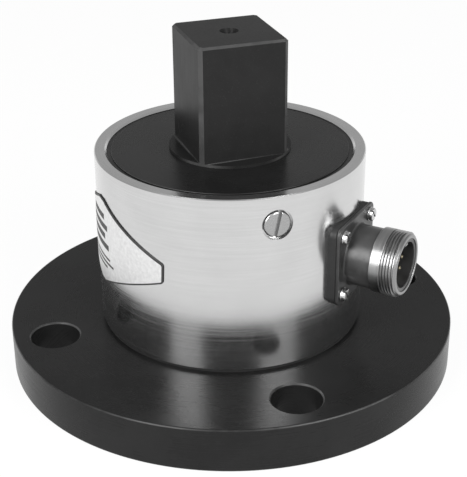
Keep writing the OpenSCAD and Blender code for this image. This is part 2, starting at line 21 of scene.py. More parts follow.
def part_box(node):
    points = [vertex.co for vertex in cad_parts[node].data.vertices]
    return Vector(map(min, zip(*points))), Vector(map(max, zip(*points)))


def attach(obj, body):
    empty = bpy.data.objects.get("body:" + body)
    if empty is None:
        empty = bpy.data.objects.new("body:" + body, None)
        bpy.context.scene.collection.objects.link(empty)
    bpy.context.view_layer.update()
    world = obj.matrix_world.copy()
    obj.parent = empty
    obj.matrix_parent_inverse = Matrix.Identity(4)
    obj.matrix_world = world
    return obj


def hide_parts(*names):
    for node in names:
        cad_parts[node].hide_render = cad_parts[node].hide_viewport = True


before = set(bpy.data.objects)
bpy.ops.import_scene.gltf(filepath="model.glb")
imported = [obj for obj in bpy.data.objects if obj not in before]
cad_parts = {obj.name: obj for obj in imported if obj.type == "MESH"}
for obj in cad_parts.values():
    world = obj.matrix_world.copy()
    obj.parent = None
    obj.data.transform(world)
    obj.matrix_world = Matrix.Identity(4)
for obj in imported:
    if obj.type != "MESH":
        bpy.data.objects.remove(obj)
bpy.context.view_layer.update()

MM = 0.001
EPS = 1e-6
BODY = "root"
TURN_STEPS = 192
SMALL_STEPS = 64
SHARP_DEG = 40.0
SOFT_DEG = 30.0
SOFT_STEPS = 3
FACING_UP = 0.9
X_AXIS = Vector((1.0, 0.0, 0.0))
Y_AXIS = Vector((0.0, 1.0, 0.0))
UP = Vector((0.0, 0.0, 1.0))
WIDE_NOISE = (0.3, 0.7)
MIDDLE_NOISE = (0.35, 0.65)
PHOTO_AZIMUTH_DEG = -18.8
BUMP_SHARE = 0.4
METAL_BUMP_SHARE = 0.5
SLAB_STEPS = 8
WHITE = (1.0, 1.0, 1.0, 1.0)
log = logging.getLogger("torque_sensor")

Socket = bpy.types.NodeSocket
Colour = tuple[float, float, float]
MATERIALS: dict[str, bpy.types.Material] = {}


def start(node: str) -> Vector:
    """Returns the near, lower corner of a CAD node's box."""
    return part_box(node)[0]


def reach(node: str) -> Vector:
    """Returns the far, upper corner of a CAD node's box."""
    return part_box(node)[1]


def middle(node: str) -> Vector:
    """Returns the centre of a CAD node's box."""
    return (start(node) + reach(node)) / 2.0


def turn(degrees: float, axis: str = "Z") -> Matrix:
    """Returns a turn about a main axis."""
    return Matrix.Rotation(math.radians(degrees), 4, axis)


def shift(x: float = 0.0, y: float = 0.0, z: float = 0.0) -> Matrix:
    """Returns a move along the main axes."""
    return Matrix.Translation((x, y, z))


def outward(azimuth_deg: float, elevation_deg: float) -> Vector:
    """Returns the direction from the object to a viewer, where azimuth 0 is straight in front."""
    a, e = math.radians(azimuth_deg), math.radians(elevation_deg)
    return Vector((math.sin(a) * math.cos(e), -math.cos(a) * math.cos(e), math.sin(e)))


def lies_at(edge: bmesh.types.BMEdge, place: float, axis: int = 2) -> bool:
    """Tells whether an edge lies at one place along an axis, which is Z unless another is given."""
    return all(abs(v.co[axis] - place) < EPS for v in edge.verts)


def linked(name: str, data: Any) -> bpy.types.Object:
    """Makes an object and links it to the scene.

    Args:
        name: The object's name.
        data: Its mesh, lamp or camera.

    Returns:
        The new object.
    """
    made = bpy.data.objects.new(name, data)
    bpy.context.scene.collection.objects.link(made)
    return made


def grey(level: float) -> Colour:
    """Returns a neutral colour."""
    return (level, level, level)


def scaled(colour: Colour, share: float) -> Colour:
    """Returns a colour made darker or lighter."""
    return tuple(c * share for c in colour)


class Axis(Enum):
    """An axis that a piece or a pattern is turned about."""

    TORQUE = "torque"
    OUTLET = "outlet"


class Lay(Enum):
    """How the tool marks of a metal run."""

    TURNED = "turned"
    MILLED = "milled"
    BLASTED = "blasted"


@dataclass(frozen=True)
class Place:
    """Where a piece's own Z axis lies.

    Attributes:
        turn_deg: Its turn about the torque axis.
        out: Its distance from that axis.
        height: Its height over the flange's seating face.
        lies_down: Lays it flat, so that it points outwards.
    """

    turn_deg: float = 0.0
    out: float = 0.0
    height: float = 0.0
    lies_down: bool = False

    def matrix(self) -> Matrix:
        """Returns the transform from the piece's own axes to the object's."""
        tip = turn(90.0, "Y") if self.lies_down else Matrix.Identity(4)
        return turn(self.turn_deg) @ shift(self.out, 0.0, self.height) @ tip


OUTLET = middle("receptacle_thread")
OUTLET_TURN = math.degrees(math.atan2(OUTLET.y, OUTLET.x))
PLACES = {
    Axis.TORQUE: Place(),
    Axis.OUTLET: Place(OUTLET_TURN, 0.0, OUTLET.z, True),
}


@dataclass(frozen=True)
class Corner:
    """One corner of a half section.

    Attributes:
        radius: Distance from the axis.
        height: Place along the axis.
        soft: Length that the rounding takes from both edges.
        steps: Facets of the rounding.
        gap: Leaves out the wall from here to the next corner.
    """

    radius: float
    height: float
    soft: float = 0.0
    steps: int = 4
    gap: bool = False


class Blank:
    """A mesh on the bench, shaped by operators and then laid in its place."""

    def __init__(self) -> None:
        """Starts an empty mesh."""
        self.bm = bmesh.new()

    @classmethod
    def turned(cls, corners: Sequence[Corner], steps: int = TURN_STEPS) -> "Blank":
        """Turns a closed half section about Z.

        Args:
            corners: The corners of the section, in order.
            steps: Facets round the axis.

        Returns:
            The turned blank, open where a corner says so.
        """
        made = cls()
        bm = made.bm
        ring = [bm.verts.new((c.radius, 0.0, c.height)) for c in corners]
        bm.faces.new(ring)
        ends = [(a, b) for a, b, c in zip(ring, ring[1:] + ring[:1], corners) if c.gap]
        for soft, count in sorted({(c.soft, c.steps) for c in corners if c.soft}):
            alike = [v for v, c in zip(ring, corners) if (c.soft, c.steps) == (soft, count)]
            made.clipped(alike, soft, count)
        bmesh.ops.delete(bm, geom=bm.faces[:], context="FACES_ONLY")
        gone = [bm.edges.get(pair) for pair in ends]
        gone += [e for e in bm.edges if e not in gone and all(v.co.x < EPS for v in e.verts)]
        bmesh.ops.delete(bm, geom=gone, context="EDGES")
        bmesh.ops.spin(bm, geom=bm.verts[:] + bm.edges[:], axis=UP, angle=math.tau, steps=steps,
                       use_merge=True)
        return made.mended()

    @classmethod
    def slab(cls, width: float, corner: float, bottom: float, top: float, edge: float) -> "Blank":
        """Makes a square plate with round corners, centred on Z.

        Args:
            width: Width across its flats.
            corner: Radius of its corners.
            bottom: Height of its lower face.
            top: Height of its upper face.
            edge: Rounding round both faces.

        Returns:
            The closed plate.
        """
        made = cls()
        bmesh.ops.create_circle(made.bm, cap_ends=True, segments=4, radius=width / math.sqrt(2.0),
                                matrix=shift(z=bottom) @ turn(45.0))
        made.clipped(made.bm.verts[:], corner, SLAB_STEPS)
        made.raised(made.bm.faces[:], top - bottom)
        made.mended()
        if edge:
            made.rounded([e for e in made.bm.edges if abs(e.verts[0].co.z - e.verts[1].co.z) < EPS], edge)
        return made

    def mended(self) -> "Blank":
        """Merges doubled vertices and turns all faces outwards.

        Returns:
            This blank.
        """
        bmesh.ops.remove_doubles(self.bm, verts=self.bm.verts[:], dist=EPS)
        bmesh.ops.recalc_face_normals(self.bm, faces=self.bm.faces[:])
        return self

    def raised(self, faces: Sequence[bmesh.types.BMFace], height: float) -> list[bmesh.types.BMFace]:
        """Extrudes faces along Z.

        Args:
            faces: The faces to raise.
            height: How far they go up.

        Returns:
            The raised faces.
        """
        out = bmesh.ops.extrude_face_region(self.bm, geom=list(faces))["geom"]
        bmesh.ops.translate(self.bm, verts=[g for g in out if isinstance(g, bmesh.types.BMVert)],
                            vec=(0.0, 0.0, height))
        return [g for g in out if isinstance(g, bmesh.types.BMFace)]

    def clipped(self, verts: Sequence[bmesh.types.BMVert], size: float, steps: int) -> None:
        """Rounds the corners of a flat outline in a number of steps."""
        bmesh.ops.bevel(self.bm, geom=list(verts), offset=size, offset_type="OFFSET", segments=steps,
                        profile=0.5, affect="VERTICES", material=-1)

    def rounded(self, edges: Sequence[bmesh.types.BMEdge], size: float, steps: int = SOFT_STEPS) -> None:
        """Rounds edges in a number of steps, or chamfers them with one."""
        bmesh.ops.bevel(self.bm, geom=list(edges), offset=size, offset_type="OFFSET", segments=steps,
                        profile=0.5, affect="EDGES", material=-1)

    def tops(self) -> list[bmesh.types.BMFace]:
        """Returns the faces that look up."""
        return [f for f in self.bm.faces if f.normal.z > FACING_UP]

    def sliced(self, normal: Vector, distances: Iterable[float],
               faces: Sequence[bmesh.types.BMFace] = ()) -> None:
        """Scores faces along parallel planes.

        Args:
            normal: Direction that the planes face.
            distances: Their distances from the origin.
            faces: The faces to score, or none for the whole mesh.
        """
        for distance in distances:
            marked = set(faces) or set(self.bm.faces)
            geom = {part for f in marked for part in (f, *f.edges, *f.verts)}
            bmesh.ops.bisect_plane(self.bm, geom=list(geom), dist=EPS, plane_co=normal * distance,
                                   plane_no=normal)
        self.bm.normal_update()

    def add(self, other: "Blank", at: Matrix | None = None) -> "Blank":
        """Adds a copy of another blank.

        Args:
            other: The blank that is copied.
            at: Where the copy goes.

        Returns:
            This blank.
        """
        mesh = bpy.data.meshes.new("bench")
        other.bm.to_mesh(mesh)
        mesh.transform(at or Matrix.Identity(4))
        self.bm.from_mesh(mesh)
        bpy.data.meshes.remove(mesh)
        return self

    def closed_at(self, height: float) -> None:
        """Fills the flat face between all open rims at one height."""
        rims = [e for e in self.bm.edges if e.is_boundary and lies_at(e, height)]
        bmesh.ops.triangle_fill(self.bm, use_beauty=True, edges=rims)

    def piece(self, name: str, slot: str, nodes: Sequence[str] = (), soften: float = 0.0,
              finish: str = "") -> None:
        """Finishes the blank as one piece of the object.

        Args:
            name: The piece's name.
            slot: Its material slot.
            nodes: The CAD nodes that it stands for.
            soften: Rounding of all its edges by a modifier.
            finish: The finish, where it isn't the slot's own.
        """
        self.mended()
        mesh = bpy.data.meshes.new(name)
        self.bm.to_mesh(mesh)
        self.bm.free()
        mesh.shade_smooth()
        made = linked(name, mesh)
        if soften:
            bevel = made.modifiers.new("soft_edges", "BEVEL")
            bevel.width = soften
            bevel.segments = SOFT_STEPS
            bevel.limit_method = "ANGLE"
            bevel.angle_limit = math.radians(SOFT_DEG)
        else:
            mesh.set_sharp_from_angle(angle=math.radians(SHARP_DEG))
        normals = made.modifiers.new("even_normals", "WEIGHTED_NORMAL")
        normals.keep_sharp = True
        mesh.materials.append(MATERIALS[finish or slot])
        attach(made, BODY)
        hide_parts(*nodes)
        log.info("%s: %d faces, %s", name, len(mesh.polygons), slot)


class Nodes:
    """Short calls that add shader nodes to one tree and join them."""

    def __init__(self, owner: bpy.types.Material | bpy.types.World) -> None:
        """Empties the owner's node tree.

        Args:
            owner: The material or world that the nodes belong to.
        """
        owner.use_nodes = True
        self.tree = owner.node_tree
        self.tree.nodes.clear()

    def add(self, kind: str, inputs: dict[Any, Any] | None = None, **settings: Any) -> bpy.types.Node:
        """Adds one node.

        Args:
            kind: The node's type name.
            inputs: A value or a socket to join for each input that is set.
            settings: The node's own properties.

        Returns:
            The new node.
        """
        node = self.tree.nodes.new(kind)
        for name, value in settings.items():
            setattr(node, name, value)
        for name, value in (inputs or {}).items():
            if isinstance(value, Socket):
                self.tree.links.new(value, node.inputs[name])
            else:
                node.inputs[name].default_value = value
        return node

    def sum(self, operation: str, first: Any, second: Any = 0.0, third: Any = 0.0) -> Socket:
        """Returns the result of one Math node on up to three numbers or sockets."""
        return self.add("ShaderNodeMath", {0: first, 1: second, 2: third}, operation=operation).outputs[0]

    def place(self, axis: Axis) -> Socket:
        """Lays the named axis along Z.

        Args:
            axis: The axis that the pattern follows.

        Returns:
            The Object coordinates, moved and turned.
        """
        place = PLACES[axis]
        point = self.add("ShaderNodeTexCoord").outputs["Object"]
        back = math.radians(-place.turn_deg)
        lay = {0: point, "Location": (0.0, 0.0, -place.height), "Rotation": (0.0, 0.0, back)}
        point = self.add("ShaderNodeMapping", lay).outputs[0]
        if place.lies_down:
            lay = {0: point, "Rotation": (0.0, math.radians(-90.0), 0.0)}
            point = self.add("ShaderNodeMapping", lay).outputs[0]
        return point

    def radius(self, point: Socket) -> tuple[Socket, Socket, Socket, Socket]:
        """Works out how far a point is from the Z axis.

        Args:
            point: The point.

        Returns:
            Its x, y and z, and its distance from the axis.
        """
        x, y, z = self.add("ShaderNodeSeparateXYZ", {0: point}).outputs
        flat = self.sum("MULTIPLY_ADD", x, x, self.sum("MULTIPLY", y, y))
        return x, y, z, self.sum("SQRT", flat)

    def noise(self, vector: Socket, scale: float, detail: float = 3.0, rough: float = 0.5) -> Socket:
        """Returns noise from about 0.2 to 0.8, with a number and a strength of finer layers."""
        inputs = {"Vector": vector, "Scale": scale, "Detail": detail, "Roughness": rough}
        return self.add("ShaderNodeTexNoise", inputs).outputs[0]

    def spread(self, value: Socket, low: float, high: float,
               to_low: float = 0.0, to_high: float = 1.0) -> Socket:
        """Returns a value mapped from one range to another and held at its ends."""
        return self.add("ShaderNodeMapRange", {0: value, 1: low, 2: high, 3: to_low, 4: to_high}).outputs[0]

    def vary(self, value: Socket, level: float, share: float) -> Socket:
        """Returns a level that a noise moves down and up by a share of it."""
        return self.spread(value, *WIDE_NOISE, level * (1.0 - share), level * (1.0 + share))

    def blend(self, factor: Any, first: Any, second: Any) -> Socket:
        """Mixes two colours.

        Args:
            factor: Share of the second colour.
            first: A colour or a socket.
            second: A colour or a socket.

        Returns:
            The mixed colour.
        """
        mix = self.add("ShaderNodeMix", {"Factor": factor}, data_type="RGBA")
        for index, value in ((6, first), (7, second)):
            if isinstance(value, Socket):
                self.tree.links.new(value, mix.inputs[index])
            else:
                mix.inputs[index].default_value = (*value, 1.0)
        return mix.outputs[2]

    def streaks(self, axis: Axis, lay: Lay, across: float, along: float) -> Socket:
        """Draws noise out along the marks that a tool leaves.

        Args:
            axis: The axis that the piece is turned about.
            lay: How the marks run.
            across: Marks for each metre across them.
            along: Changes for each metre along them.

        Returns:
            The noise.
        """
        x, y, z, r = self.radius(self.place(axis))
        if lay is Lay.TURNED:
            z = self.sum("ADD", z, r)
        scales = {
            Lay.TURNED: (along, along, across),
            Lay.MILLED: (across, across, along),
            Lay.BLASTED: (across, across, across),
        }[lay]
        parts = [self.sum("MULTIPLY", part, scale) for part, scale in zip((x, y, z), scales)]
        return self.noise(self.add("ShaderNodeCombineXYZ", dict(enumerate(parts))).outputs[0], 1.0)

    def bump(self, height: Socket, strength: float, distance: float) -> Socket:
        """Returns a normal roughened by a height, whose value of 1 stands for a distance in metres."""
        inputs = {"Height": height, "Strength": strength, "Distance": distance}
        return self.add("ShaderNodeBump", inputs).outputs[0]

    def rays(self, *kinds: str) -> Socket:
        """Returns 1 for light paths of any of the named kinds, and 0 for the others."""
        path = self.add("ShaderNodeLightPath").outputs
        return reduce(lambda a, b: self.sum("MAXIMUM", a, b), [path[f"Is {kind} Ray"] for kind in kinds])

    def mixed(self, share: Socket, usual: bpy.types.Node, other: bpy.types.Node, output: str) -> None:
        """Ends the tree in a mix of two shaders.

        Args:
            share: Share of the other shader.
            usual: The shader at a share of 0.
            other: The shader at a share of 1.
            output: Type name of the output node.
        """
        mix = self.add("ShaderNodeMixShader", {0: share, 1: usual.outputs[0], 2: other.outputs[0]})
        self.tree.links.new(mix.outputs[0], self.add(output).inputs[0])

    def finish(self, inputs: dict[str, Any]) -> None:
        """Ends the tree in one Principled surface with the inputs that are set."""
        shader = self.add("ShaderNodeBsdfPrincipled", inputs)
        self.tree.links.new(shader.outputs[0], self.add("ShaderNodeOutputMaterial").inputs[0])


@dataclass(frozen=True)
class Finish:
    """How a surface looks. Each kind of finish says what its surface is made of."""

    name: str
    colour: Colour
    roughness: float

    def material(self) -> bpy.types.Material:
        """Makes the material.

        Returns:
            The new material.
        """
        made = bpy.data.materials.new(self.name)
        nodes = Nodes(made)
        nodes.finish(self.surface(nodes))
        return made

    def surface(self, nodes: Nodes) -> dict[str, Any]:
        """Returns the inputs of the Principled surface that this finish sets."""
        raise NotImplementedError


@dataclass(frozen=True)
class Metal(Finish):
    """An uncoated or plated metal with the marks of the tool that shaped it.

    Attributes:
        across: Marks for each metre across them.
        along: Changes for each metre along them.
        mark: Share that the marks darken.
        relief: Height of the marks.
        cloud: Share of the stain in the cloudy spots.
        streaky: Share that the marks change the roughness.
    """

    anisotropy: float = 0.0
    axis: Axis = Axis.TORQUE
    lay: Lay = Lay.BLASTED
    across: float = 2500.0
    along: float = 60.0
    mark: float = 0.12
    relief: float = 0.02 * MM
    cloud: float = 0.06
    streaky: float = 0.15
    cloud_scale: float = 55.0
    stain: float = 0.6

    def surface(self, nodes: Nodes) -> dict[str, Any]:
        """Lays the marks of the tool over stained metal.

        Args:
            nodes: The material's tree.

        Returns:
            The inputs of the surface.
        """
        marks = nodes.streaks(self.axis, self.lay, self.across, self.along)
        clouds = nodes.noise(nodes.place(self.axis), self.cloud_scale)
        marked = nodes.spread(marks, *WIDE_NOISE)
        tone = nodes.blend(marked, scaled(self.colour, 1.0 - self.mark), self.colour)
        stained = nodes.spread(clouds, *MIDDLE_NOISE, self.cloud, 0.0)
        inputs: dict[str, Any] = {
            "Base Color": nodes.blend(stained, tone, scaled(self.colour, self.stain)),
            "Metallic": 1.0,
            "Roughness": nodes.spread(marks, *MIDDLE_NOISE, self.roughness * (1.0 - self.streaky),
                                      self.roughness * (1.0 + self.streaky)),
            "Normal": nodes.bump(marks, METAL_BUMP_SHARE, self.relief),
        }
        if self.anisotropy:
            inputs["Anisotropic"] = self.anisotropy
            inputs["Tangent"] = self.grain(nodes)
        return inputs

    def grain(self, nodes: Nodes) -> Socket:
        """Works out the direction across the marks, in which reflections are drawn out.

        Args:
            nodes: The tree that the direction is worked out in.

        Returns:
            The direction.
        """
        point = nodes.add("ShaderNodeTexCoord").outputs["Object"]
        x, y, _ = nodes.add("ShaderNodeSeparateXYZ", {0: point}).outputs
        back = nodes.sum("MULTIPLY", y, -1.0)
        around = nodes.add("ShaderNodeCombineXYZ", {0: back, 1: x, 2: 0.0}).outputs[0]
        normal = nodes.add("ShaderNodeNewGeometry").outputs["Normal"]
        across = nodes.add("ShaderNodeVectorMath", {0: around, 1: normal}, operation="CROSS_PRODUCT")
        return across.outputs[0]


@dataclass(frozen=True)
class Blackened(Finish):
    """Steel blackened in a hot salt bath: nearly black, with a faint gloss and the marks beneath.

    Attributes:
        ior: Strength of the gloss.
        wear_and_highlight: Colour of the lightened edges, partly where handling has thinned the black and
            partly a painted highlight for the lamps' glints.
        centre_r: Radius round the torque axis inside which no edge is lightened.
        centre_fade: Distance over which the lightening starts outside it.
        square_band: Facing along a main axis at which the lightening ends on a milled piece.
        wall_band: Facing up at which the lightening starts above a turned piece's walls.
        top_band: Facing up at which it ends again on its tops.
    """

    ior: float = 1.24
    lay: Lay = Lay.TURNED
    across: float = 1500.0
    along: float = 25.0
    relief: float = 0.006 * MM
    # Colour of the lightened edges: partly handling wear, partly a painted highlight.
    wear_and_highlight: Colour = grey(0.055)
    centre_r: float = 6.0 * MM
    centre_fade: float = 1.0 * MM
    cloud_scale: float = 38.0
    cloud_detail: float = 4.0
    cloud_rough: float = 0.6
    cloud_band: tuple[float, float] = (0.35, 0.7)
    cloud_light: float = 1.4
    cloud_gloss: float = 0.2
    speck_scale: float = 1400.0
    speck_detail: float = 2.0
    speck_band: tuple[float, float] = (0.62, 0.72)
    speck_light: float = 2.6
    speck_share: float = 0.35
    mark_gloss: float = 0.03
    wear_and_highlight_band: tuple[float, float] = (0.38, 0.6)
    wear_and_highlight_least: float = 0.25
    square_band: tuple[float, float] = (0.85, 0.97)
    wall_band: tuple[float, float] = (0.1, 0.35)
    top_band: tuple[float, float] = (0.8, 0.95)

    def surface(self, nodes: Nodes) -> dict[str, Any]:
        """Lays lightened edges, partly handling wear and partly a painted highlight, on a cloudy and
        specked black.

        Args:
            nodes: The material's tree.

        Returns:
            The inputs of the surface.
        """
        point = nodes.place(Axis.TORQUE)
        marks = nodes.streaks(Axis.TORQUE, self.lay, self.across, self.along)
        clouds = nodes.noise(point, self.cloud_scale, self.cloud_detail, self.cloud_rough)
        specks = nodes.noise(point, self.speck_scale, self.speck_detail)
        cloudy = nodes.spread(clouds, *self.cloud_band)
        specked = nodes.spread(specks, *self.speck_band, 0.0, self.speck_share)
        tone = nodes.blend(cloudy, self.colour, scaled(self.colour, self.cloud_light))
        tone = nodes.blend(specked, tone, scaled(self.colour, self.speck_light))
        # Painted highlight and wear: broken edges are lightened in patches, standing partly for the lamps'
        # glints on them.
        wear_and_highlight_patches = nodes.spread(clouds, *self.wear_and_highlight_band, self.wear_and_highlight_least, 1.0)
        wear_and_highlight_mask = nodes.sum("MULTIPLY", self.edges(nodes), wear_and_highlight_patches)
        marked = nodes.spread(marks, *WIDE_NOISE, -self.mark_gloss, self.mark_gloss)
        return {
            "Base Color": nodes.blend(wear_and_highlight_mask, tone, self.wear_and_highlight),
            "Roughness": nodes.sum("ADD", nodes.vary(clouds, self.roughness, self.cloud_gloss), marked),
            "IOR": self.ior,
            "Normal": nodes.bump(marks, BUMP_SHARE, self.relief),
        }

    def edges(self, nodes: Nodes) -> Socket:
        """Finds the broken edges, which are lightened partly for handling wear and partly as a painted
        highlight. The centre hole keeps its black.

        Args:
            nodes: The tree that the edges are found in.

        Returns:
            1 on the edges and 0 elsewhere.
        """
        facing = nodes.add("ShaderNodeTexCoord").outputs["Normal"]
        size = nodes.add("ShaderNodeVectorMath", {0: facing}, operation="ABSOLUTE").outputs[0]
        x, y, z = nodes.add("ShaderNodeSeparateXYZ", {0: size}).outputs
        if self.lay is Lay.TURNED:
            above = nodes.spread(z, *self.wall_band)
            return nodes.sum("MULTIPLY", above, nodes.spread(z, *self.top_band, 1.0, 0.0))
        out = nodes.radius(nodes.place(Axis.TORQUE))[3]
        outside = nodes.spread(out, self.centre_r, self.centre_r + self.centre_fade)
        widest = nodes.sum("MAXIMUM", nodes.sum("MAXIMUM", x, y), z)
        return nodes.sum("MULTIPLY", outside, nodes.spread(widest, *self.square_band, 1.0, 0.0))


@dataclass(frozen=True)
class Moulded(Finish):
    """Rubber, plastic, resin or paint with a fine grain."""

    grain: float = 900.0
    relief: float = 0.03 * MM
    mottle: float = 0.25
    cloud_scale: float = 90.0
    grain_gloss: float = 0.15

    def surface(self, nodes: Nodes) -> dict[str, Any]:
        """Lays a fine grain over a mottled colour.

        Args:
            nodes: The material's tree.

        Returns:
            The inputs of the surface.
        """
        point = nodes.place(Axis.TORQUE)
        grain = nodes.noise(point, self.grain)
        clouds = nodes.spread(nodes.noise(point, self.cloud_scale), *MIDDLE_NOISE)
        return {
            "Base Color": nodes.blend(clouds, scaled(self.colour, 1.0 - self.mottle), self.colour),
            "Roughness": nodes.vary(grain, self.roughness, self.grain_gloss),
            "Normal": nodes.bump(grain, BUMP_SHARE, self.relief),
        }


FINISHES = (
    Blackened("black_oxide_steel", grey(0.009), 0.28),
    Blackened("milled_black_steel", grey(0.012), 0.32, 1.13, Lay.MILLED, 900.0, 40.0),
    Metal("brushed_stainless", grey(0.66), 0.19, 0.45, lay=Lay.TURNED, across=2600.0, along=30.0, mark=0.07,
          relief=0.006 * MM, cloud=0.12, streaky=0.2),
    Metal("screw_steel", grey(0.42), 0.28),
    Moulded("sealant", grey(0.012), 0.55),
    Moulded("gasket_rubber", grey(0.012), 0.6),
    Moulded("saddle_rubber", grey(0.009), 0.6),
    Moulded("black_anodised", grey(0.042), 0.34, mottle=0.6),
    Metal("nickel_plate", grey(0.33), 0.32, axis=Axis.OUTLET, lay=Lay.TURNED, across=1500.0, along=40.0,
          mark=0.2, relief=0.003 * MM),
    Moulded("insert_plastic", grey(0.012), 0.5),
    Metal("gold_plate", (0.28, 0.25, 0.18), 0.5),
    Metal("zinc_plate", grey(0.62), 0.25),
    Metal("plate_aluminium", grey(0.86), 0.45, across=700.0, mark=0.16, relief=0.01 * MM),
    Moulded("adhesive_film", grey(0.02), 0.5),
    Moulded("gauge_foil", (0.55, 0.33, 0.12), 0.35),
    Moulded("silicone", (0.55, 0.57, 0.55), 0.3),
    Metal("terminal_copper", (0.8, 0.48, 0.32), 0.3),
    Moulded("red_enamel", (0.35, 0.03, 0.02), 0.3),
    Moulded("board_laminate", (0.02, 0.11, 0.05), 0.35),
    Metal("spacer_brass", (0.72, 0.55, 0.28), 0.3),
    Moulded("resistor_epoxy", (0.42, 0.33, 0.2), 0.35),
    Moulded("block_plastic", (0.03, 0.16, 0.09), 0.4),
    Moulded("blue_insulation", (0.02, 0.06, 0.3), 0.4),
)

NODE_FINISH = {
    "sensing_element": "black_oxide_steel",
    "cover_sleeve": "brushed_stainless",
    "cover_screws": "screw_steel",
    "top_seal": "sealant",
    "base_gasket": "gasket_rubber",
    "saddle": "saddle_rubber",
    "receptacle_body": "black_anodised",
    "receptacle_thread": "nickel_plate",
    "receptacle_insert": "insert_plastic",
    "contact_pins": "gold_plate",
    "insert_clip": "spacer_brass",
    "receptacle_screws": "zinc_plate",
    "screw_washers": "zinc_plate",
    "nameplate": "plate_aluminium",
    "nameplate_film": "adhesive_film",
    "strain_gauges": "gauge_foil",
    "gauge_coating": "silicone",
    "solder_terminals": "terminal_copper",
    "gauge_leads": "red_enamel",
    "bridge_board": "board_laminate",
    "board_spacers": "spacer_brass",
    "board_screws": "screw_steel",
    "trim_resistors": "resistor_epoxy",
    "terminal_block": "block_plastic",
    "receptacle_wires": "blue_insulation",
}


@dataclass
class SensingElement:
    """The one-piece flange, torsion shaft, collar and drive square."""

    flange_r: float = reach("sensing_element").x
    flange_top: float = start("base_gasket").z
    end: float = reach("sensing_element").z
    flange_edge: float = 0.8 * MM
    flange_steps: int = 5
    bolt_circle_r: float = 80.5 * MM
    bolt_hole_r: float = 10.5 * MM
    bolt_hole_edge: float = 0.6 * MM
    bolt_hole_soft: float = 0.25 * MM
    bolt_count: int = 4
    bolt_start_deg: float = 90.0
    bolt_margin: float = 1.5 * MM
    pilot_r: float = 30.0 * MM
    pilot_depth: float = 5.0 * MM
    register_r: float = 52.2 * MM
    register_h: float = 3.0 * MM
    shaft_r: float = 23.0 * MM
    root_r: float = 8.0 * MM
    root_steps: int = 10
    collar_z: float = 75.0 * MM
    collar_top: float = reach("cover_sleeve").z - 0.5 * MM
    groove_r: float = 50.45 * MM
    groove_z: float = start("top_seal").z
    hub_r: float = 25.8 * MM
    hub_rise: float = 1.2 * MM
    half_flat: float = 19.05 * MM
    end_chamfer: float = 1.0 * MM
    edge: float = 0.35 * MM
    centre_r: float = 4.0 * MM
    centre_bore_r: float = 1.6 * MM
    centre_depth: float = 8.0 * MM
    centre_half_angle_deg: float = 30.0

    def build(self) -> None:
        """Makes the turned body and the milled square on it."""
        self.turned_body()
        self.drive_square()

    def turned_body(self) -> None:
        """Turns the body in one piece and drills its flange."""
        inner = self.bolt_circle_r - self.bolt_hole_r - self.bolt_margin
        outer = self.bolt_circle_r + self.bolt_hole_r + self.bolt_margin
        register = self.flange_top + self.register_h
        body = Blank.turned([
            Corner(0.0, self.pilot_depth),
            Corner(self.pilot_r, self.pilot_depth),
            Corner(self.pilot_r, 0.0, self.bolt_hole_edge),
            Corner(inner, 0.0, gap=True),
            Corner(outer, 0.0),
            Corner(self.flange_r, 0.0, self.flange_edge, self.flange_steps),
            Corner(self.flange_r, self.flange_top, self.flange_edge, self.flange_steps),
            Corner(outer, self.flange_top, gap=True),
            Corner(inner, self.flange_top),
            Corner(self.register_r, self.flange_top),
            Corner(self.register_r, register, self.flange_edge),
            Corner(self.shaft_r, register, self.root_r, self.root_steps),
            Corner(self.shaft_r, self.collar_z, self.root_r, self.root_steps),
            Corner(self.register_r, self.collar_z, self.flange_edge),
            Corner(self.register_r, self.groove_z),
            Corner(self.groove_r, self.groove_z),
            Corner(self.groove_r, self.collar_top, self.edge),
            Corner(0.0, self.collar_top),
        ])
        mouth = self.bolt_hole_r + self.bolt_hole_edge
        hole = Blank.turned([
            Corner(mouth, 0.0),
            Corner(self.bolt_hole_r, self.bolt_hole_edge, self.bolt_hole_soft),
            Corner(self.bolt_hole_r, self.flange_top - self.bolt_hole_edge, self.bolt_hole_soft),
            Corner(mouth, self.flange_top, gap=True),
        ], SMALL_STEPS)
        for k in range(self.bolt_count):
            around = self.bolt_start_deg + 360.0 * k / self.bolt_count
            body.add(hole, Place(around, self.bolt_circle_r).matrix())
        body.closed_at(0.0)
        body.closed_at(self.flange_top)
        body.piece("turned_body", "black_oxide_steel", ["sensing_element"])

    def drive_square(self) -> None:
        """Mills four flats on a round blank, chamfers its end and drills its centre hole."""
        blank = Blank()
        bmesh.ops.create_circle(blank.bm, cap_ends=True, segments=TURN_STEPS, radius=self.hub_r,
                                matrix=shift(z=self.collar_top - self.edge))
        blank.raised(blank.bm.faces[:], self.hub_rise + self.edge)
        blank.mended()
        for normal in (X_AXIS, Y_AXIS, -X_AXIS, -Y_AXIS):
            blank.sliced(normal, [self.half_flat], blank.tops())
        seat = max(blank.tops(), key=lambda f: f.calc_area())
        top = blank.raised([seat], self.end - self.collar_top - self.hub_rise)
        blank.mended()
        blank.rounded([e for f in top for e in f.edges], self.end_chamfer, 1)
        ends = [f for f in blank.tops() if f.calc_center_median().z > self.end - EPS]
        bmesh.ops.delete(blank.bm, geom=ends, context="FACES_ONLY")
        cone = (self.centre_r - self.centre_bore_r) / math.tan(math.radians(self.centre_half_angle_deg))
        floor = self.end - self.centre_depth
        blank.add(Blank.turned([
            Corner(self.centre_r, self.end),
            Corner(self.centre_bore_r, self.end - cone),
            Corner(self.centre_bore_r, floor),
            Corner(0.0, floor, gap=True),
        ], SMALL_STEPS))
        blank.closed_at(self.end)
        blank.piece("drive_square", "black_oxide_steel", soften=self.edge, finish="milled_black_steel")


